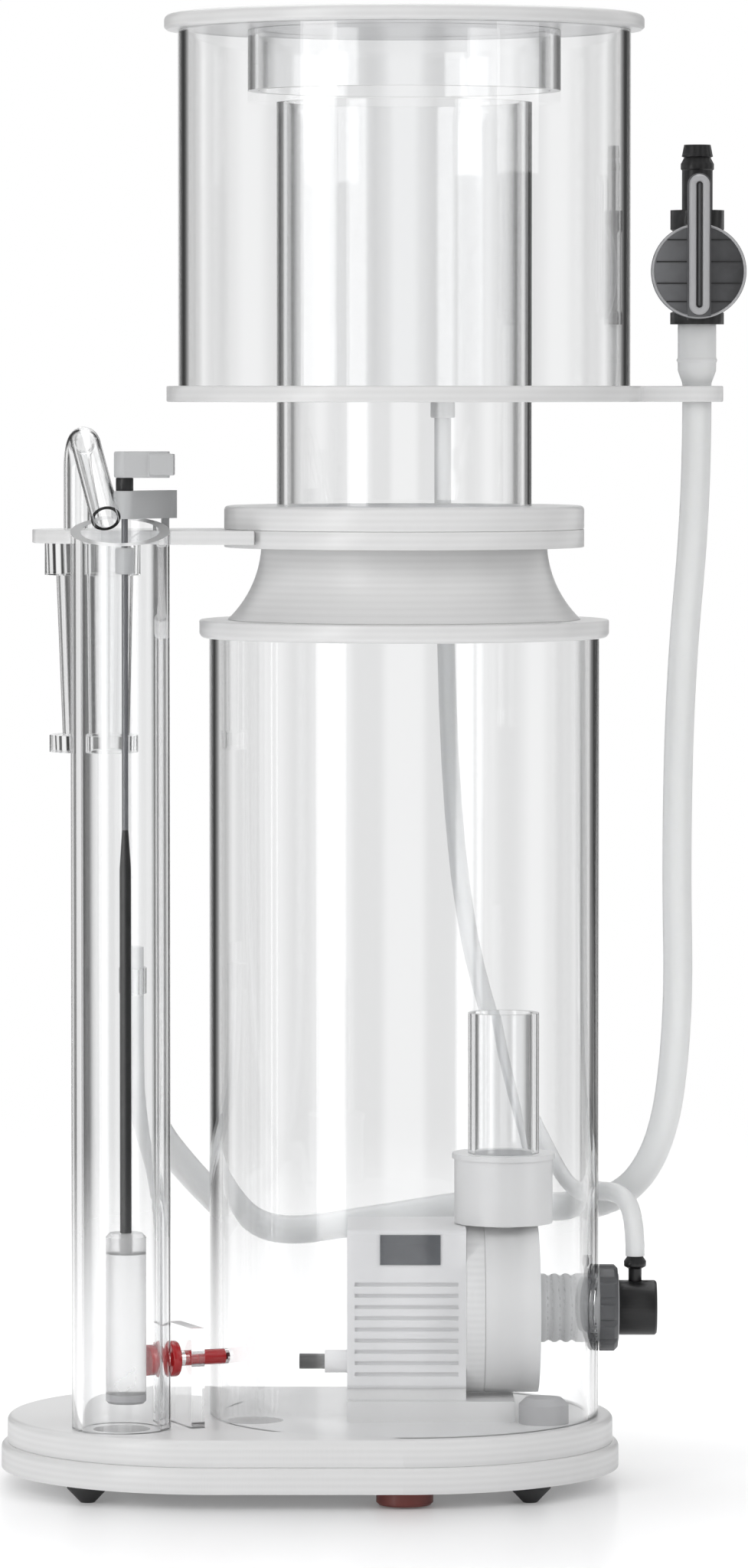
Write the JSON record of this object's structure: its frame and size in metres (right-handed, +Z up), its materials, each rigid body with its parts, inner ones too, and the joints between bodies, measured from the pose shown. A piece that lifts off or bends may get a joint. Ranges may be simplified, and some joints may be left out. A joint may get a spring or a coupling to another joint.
{
  "type": "protein skimmer",
  "caption": "Clear acrylic protein skimmer with a needle-wheel pump inside its chamber, a bell reducer, a lift-off foam cup with lid and drain tap, and a standpipe for the water level.",
  "frame": {"origin": "Midway across the object's outline at the height of its feet.", "axes": "+Z up along the chamber's axis, +X from the standpipe towards the intake nozzle, -Y the front with the pump's label."},
  "size_m": [0.2916, 0.1911, 0.5754],
  "materials": {
    "white_pvc": "glossy white rigid PVC",
    "clear_acrylic": "clear cast acrylic tube",
    "black_rubber": "soft black rubber",
    "grey_rubber": "mid grey rubber",
    "plug_brown": "red-brown moulded plastic",
    "silicone": "translucent white silicone hose",
    "black_plastic": "black moulded plastic",
    "dark_grey_plastic": "dark grey moulded plastic",
    "grey_plastic": "mid grey moulded plastic",
    "pale_plastic": "off-white moulded plastic",
    "rod_steel": "thin stainless rod",
    "red_plastic": "red moulded plastic",
    "pump_grey": "light grey pump casing",
    "pump_pale": "milky moulded plastic",
    "bush_plastic": "dark bearing bush",
    "magnet_black": "coated ferrite magnet",
    "ceramic_white": "polished ceramic shaft",
    "wheel_white": "moulded needle wheel",
    "label_dark": "plain dark label"
  },
  "bodies": {
    "chamber": {"base_lower_plate": "white_pvc", "base_upper_plate": "white_pvc", "rubber_feet": "black_rubber", "drain_plug": "plug_brown", "floor_bung": "grey_rubber", "body_tube": "clear_acrylic", "top_flange": "white_pvc", "cone_reducer": "white_pvc", "body_collar": "white_pvc", "standpipe_tube": "clear_acrylic", "rod_bracket": "grey_plastic", "lever_washer": "black_plastic", "outlet_sleeve": "clear_acrylic", "vent_tube": "clear_acrylic", "brace_bolt": "red_plastic", "brace_nut": "red_plastic", "brace_plate": "clear_acrylic", "pump_motor": "pump_grey", "rear_bush": "bush_plastic", "front_bush": "bush_plastic", "pump_label": "label_dark", "cable_gland": "pump_grey", "cable_boot": "black_plastic", "pump_foot": "pump_pale", "pump_flange": "white_pvc", "pump_chamber": "pump_pale", "outlet_socket": "pump_pale", "riser_tube": "clear_acrylic", "intake_union": "grey_plastic", "union_nut": "dark_grey_plastic", "intake_nozzle": "black_plastic", "venturi_nipple": "black_plastic", "hose_clip": "clear_acrylic", "tap_hose": "silicone", "air_hose": "silicone"},
    "cup": {"neck_tube": "clear_acrylic", "cup_ring": "white_pvc", "neck_seal": "black_rubber", "cup_bottom_plate": "white_pvc", "cup_wall": "clear_acrylic", "air_port": "white_pvc", "hose_cuff": "silicone", "tap_body": "black_plastic"},
    "lid_assembly": {"lid": "white_pvc", "lid_ring": "clear_acrylic"},
    "tap_handle": {"tap_knob": "dark_grey_plastic"},
    "level_rod": {"control_rod": "rod_steel", "plunger": "pale_plastic", "plunger_cap": "pale_plastic", "plunger_seal": "grey_rubber", "rod_sleeve": "grey_plastic"},
    "lever": {"control_lever": "grey_plastic"},
    "impeller": {"rotor_magnet": "magnet_black", "pump_shaft": "ceramic_white", "needle_wheel": "wheel_white"}
  },
  "joints": [
    {"name": "cup_lift", "type": "slide", "parent": "chamber", "child": "cup", "axis": [0, 0, 1], "range_m": [0, 0.06]},
    {"name": "lid_lift", "type": "slide", "parent": "cup", "child": "lid_assembly", "axis": [0, 0, 1], "range_m": [0, 0.05]},
    {"name": "tap_turn", "type": "hinge", "parent": "cup", "child": "tap_handle", "pos_m": [0.12725, 0, 0.4753], "axis": [0, 1, 0], "range_deg": [0, 90]},
    {"name": "level_slide", "type": "slide", "parent": "chamber", "child": "level_rod", "axis": [0, 0, 1], "range_m": [-0.008, 0.01]},
    {"name": "lever_turn", "type": "hinge", "parent": "chamber", "child": "lever", "pos_m": [-0.09525, -0.046, 0.4], "axis": [0, 0, 1], "range_deg": [0, 75]},
    {"name": "impeller_spin", "type": "hinge", "parent": "chamber", "child": "impeller", "pos_m": [0.03275, 0, 0.0685], "axis": [1, 0, 0], "continuous": true}
  ]
}
